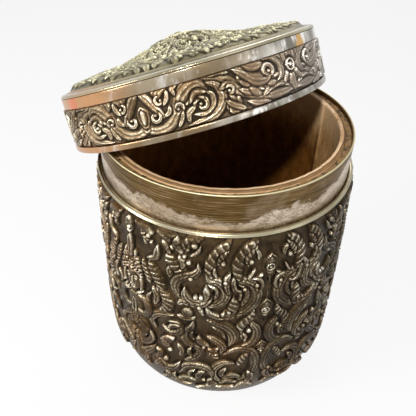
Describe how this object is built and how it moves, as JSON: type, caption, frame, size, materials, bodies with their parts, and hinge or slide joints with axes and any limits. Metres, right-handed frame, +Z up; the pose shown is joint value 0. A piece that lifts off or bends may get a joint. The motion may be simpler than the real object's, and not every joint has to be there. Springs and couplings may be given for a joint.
{
  "type": "lidded box",
  "caption": "Round silver box with flame-scroll repousse relief, a plain neck over a bent-wood liner, and a domed lift-off lid leaning on its rim.",
  "frame": {"origin": "centre of the flat base, on the surface it stands on", "axes": "+Z up along the box's own axis; the lid leans towards the back left, raised at the front right, seen from the front along +Y"},
  "size_m": [0.1095, 0.1114, 0.1433],
  "materials": {
    "chased_silver": "hammered relief, dark in the recesses and rubbed bright on the crests",
    "polished_silver": "polished plain band with fine scratches",
    "tarnished_silver": "brown tarnish over pale worn silver, with fine scratches round it",
    "core_wood": "bare aged wood, dark inside",
    "lac": "cracked dark lac"
  },
  "bodies": {
    "box": {"body_shell": "chased_silver", "base_disc": "chased_silver", "neck_collar": "tarnished_silver", "shoulder_bead": "polished_silver", "lac_bed": "lac", "core_wall": "core_wood", "core_floor": "core_wood"},
    "lid": {"lid_lower_band": "polished_silver", "lid_sleeve": "tarnished_silver", "lid_skirt": "chased_silver", "lid_upper_band": "polished_silver", "lid_top": "chased_silver", "lid_backing": "core_wood"}
  },
  "joints": [
    {"name": "lid_lift", "type": "slide", "parent": "box", "child": "lid", "axis": [0, 0, 1], "range_m": [0, 0.1]}
  ]
}
